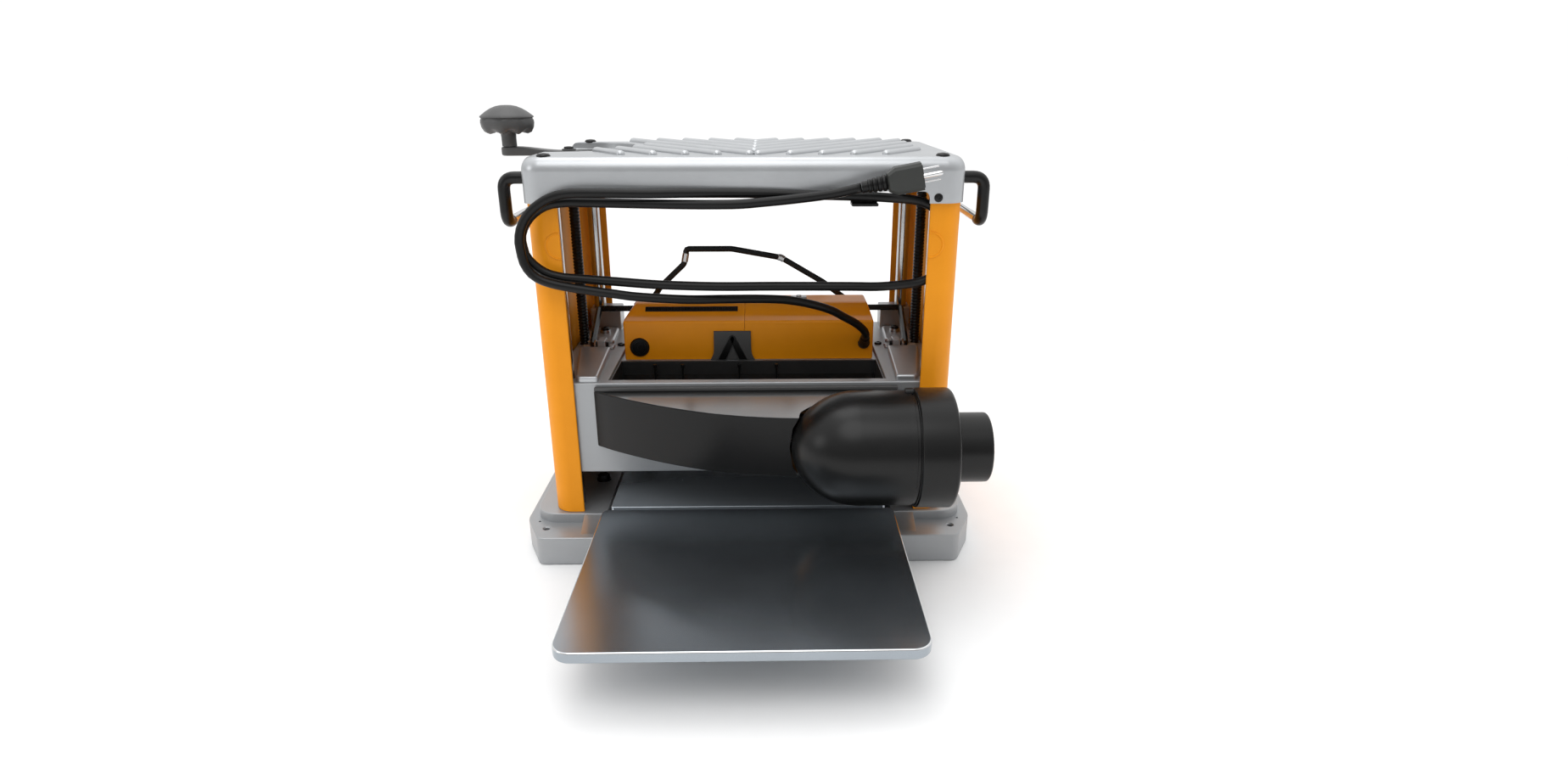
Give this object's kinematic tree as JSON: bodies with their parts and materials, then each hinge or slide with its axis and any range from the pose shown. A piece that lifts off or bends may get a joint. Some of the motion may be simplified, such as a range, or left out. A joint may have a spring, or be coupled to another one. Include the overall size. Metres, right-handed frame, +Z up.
{
  "type": "thickness planer",
  "caption": "Portable benchtop thickness planer with folding tables, a crank-raised cutterhead carriage between enclosed posts, a side dust port and a wrapped mains cord.",
  "frame": {"origin": "on the floor plane, at the middle of the base casting's underside", "axes": "+X to the right seen from the outfeed side, +Y towards the infeed side, +Z up"},
  "size_m": [0.583, 0.862, 0.505],
  "materials": {
    "casting": "satin cast and painted",
    "cover": "satin silver paint",
    "orange": "semi-gloss powder coat",
    "steel": "brushed",
    "chrome": "polished",
    "black": "moulded, semi-matte",
    "grey": "moulded, matte",
    "rubber": "matte",
    "brass": "machined"
  },
  "bodies": {
    "base": {"base_casting": "casting", "bed_plate": "steel", "side_cover_left": "orange", "side_cover_right": "orange", "guide_column_rear_left": "chrome", "guide_column_rear_right": "chrome", "guide_column_front_left": "chrome", "guide_column_front_right": "chrome", "top_cover": "cover", "handle_left": "black", "handle_right": "black", "infeed_hinge_pin": "chrome", "outfeed_hinge_pin": "chrome", "lift_chain": "steel", "cord_clip": "black", "cord_wrap": "rubber", "plug_relief": "rubber", "plug_body": "rubber", "plug_blade_upper": "chrome", "plug_blade_lower": "chrome", "plug_ground_pin": "chrome"},
    "crank": {"crank_arm": "grey", "crank_pin": "chrome", "lead_screw_left": "black", "sprocket_left": "steel"},
    "crank_knob": {"crank_knob": "grey"},
    "right_screw": {"lead_screw_right": "black", "sprocket_right": "steel"},
    "carriage": {"carriage_casting": "casting", "lift_nut_left": "brass", "lift_nut_right": "brass", "cutterhead_bearing_left": "steel", "cutterhead_bearing_right": "steel", "motor_housing_left": "orange", "motor_housing_right": "orange", "vent_plate": "grey", "motor_stator": "steel", "drive_belt": "rubber", "chip_deflector": "black", "dust_hood": "black", "dust_elbow": "black", "dust_port_cap": "black", "hood_flange": "grey", "switch_box": "grey", "cord_gland": "rubber", "cord_lead": "rubber"},
    "motor_rotor": {"motor_rotor": "steel"},
    "cutterhead": {"cutterhead": "steel", "knife_1": "chrome", "knife_2": "chrome", "knife_3": "chrome"},
    "infeed_roller": {"infeed_roller": "rubber"},
    "outfeed_roller": {"outfeed_roller": "rubber"},
    "kickback_pawls": {"kickback_pawls": "steel"},
    "lock_lever": {"lock_lever": "black"},
    "infeed_table": {"infeed_table": "steel"},
    "outfeed_table": {"outfeed_table": "steel"},
    "switch_paddle": {"switch_paddle": "orange"},
    "reset_button": {"reset_button": "black"},
    "depth_stop_knob": {"depth_stop_knob": "black"}
  },
  "joints": [
    {"name": "crank_turn", "type": "hinge", "parent": "base", "child": "crank", "pos_m": [-0.217, 0.03, 0.45], "axis": [0, 0, 1], "range_deg": [-5738, 23812]},
    {"name": "crank_knob_spin", "type": "hinge", "parent": "crank", "child": "crank_knob", "pos_m": [-0.285, 0.02, 0.48], "axis": [0, 0, 1], "continuous": true},
    {"name": "right_screw_turn", "type": "hinge", "parent": "base", "child": "right_screw", "pos_m": [0.217, 0.03, 0.2], "axis": [0, 0, 1], "range_deg": [-5738, 23812]},
    {"name": "carriage_lift", "type": "slide", "parent": "base", "child": "carriage", "axis": [0, 0, 1], "range_m": [-0.0253, 0.105], "deforming": ["cord_lead"]},
    {"name": "motor_spin", "type": "hinge", "parent": "carriage", "child": "motor_rotor", "pos_m": [0, 0.016, 0.234], "axis": [1, 0, 0], "continuous": true},
    {"name": "cutterhead_spin", "type": "hinge", "parent": "carriage", "child": "cutterhead", "pos_m": [0, 0.01, 0.1215], "axis": [1, 0, 0], "continuous": true},
    {"name": "infeed_roller_spin", "type": "hinge", "parent": "carriage", "child": "infeed_roller", "pos_m": [0, 0.066, 0.1128], "axis": [1, 0, 0], "continuous": true},
    {"name": "outfeed_roller_spin", "type": "hinge", "parent": "carriage", "child": "outfeed_roller", "pos_m": [0, -0.046, 0.1128], "axis": [1, 0, 0], "continuous": true},
    {"name": "kickback_swing", "type": "hinge", "parent": "carriage", "child": "kickback_pawls", "pos_m": [0, 0.098, 0.128], "axis": [1, 0, 0], "range_deg": [-25, 0]},
    {"name": "lock_lever_swing", "type": "hinge", "parent": "carriage", "child": "lock_lever", "pos_m": [0, 0, 0.214], "axis": [1, 0, 0], "range_deg": [0, 15]},
    {"name": "infeed_table_fold", "type": "hinge", "parent": "base", "child": "infeed_table", "pos_m": [0, 0.173, 0.0625], "axis": [1, 0, 0], "range_deg": [0, 88]},
    {"name": "outfeed_table_fold", "type": "hinge", "parent": "base", "child": "outfeed_table", "pos_m": [0, -0.173, 0.0625], "axis": [-1, 0, 0], "range_deg": [0, 6]},
    {"name": "switch_rock", "type": "hinge", "parent": "carriage", "child": "switch_paddle", "pos_m": [0.123, 0.149, 0.17], "axis": [1, 0, 0], "range_deg": [-5, 5]},
    {"name": "reset_press", "type": "slide", "parent": "carriage", "child": "reset_button", "axis": [0, -1, 0], "range_m": [0, 0.003], "stiffness_N_per_m": 400},
    {"name": "depth_stop_turn", "type": "hinge", "parent": "base", "child": "depth_stop_knob", "pos_m": [-0.2, 0.175, 0.018], "axis": [0, 1, 0], "range_deg": [-150, 150]}
  ],
  "couplings": [
    {"joint": "crank_turn", "follows": "carriage_lift", "rad_per_m": 3957.9},
    {"joint": "right_screw_turn", "follows": "carriage_lift", "rad_per_m": 3957.9},
    {"joint": "cutterhead_spin", "follows": "motor_spin", "ratio": 0.66667},
    {"joint": "infeed_roller_spin", "follows": "motor_spin", "ratio": -0.00525},
    {"joint": "outfeed_roller_spin", "follows": "motor_spin", "ratio": -0.00525}
  ]
}
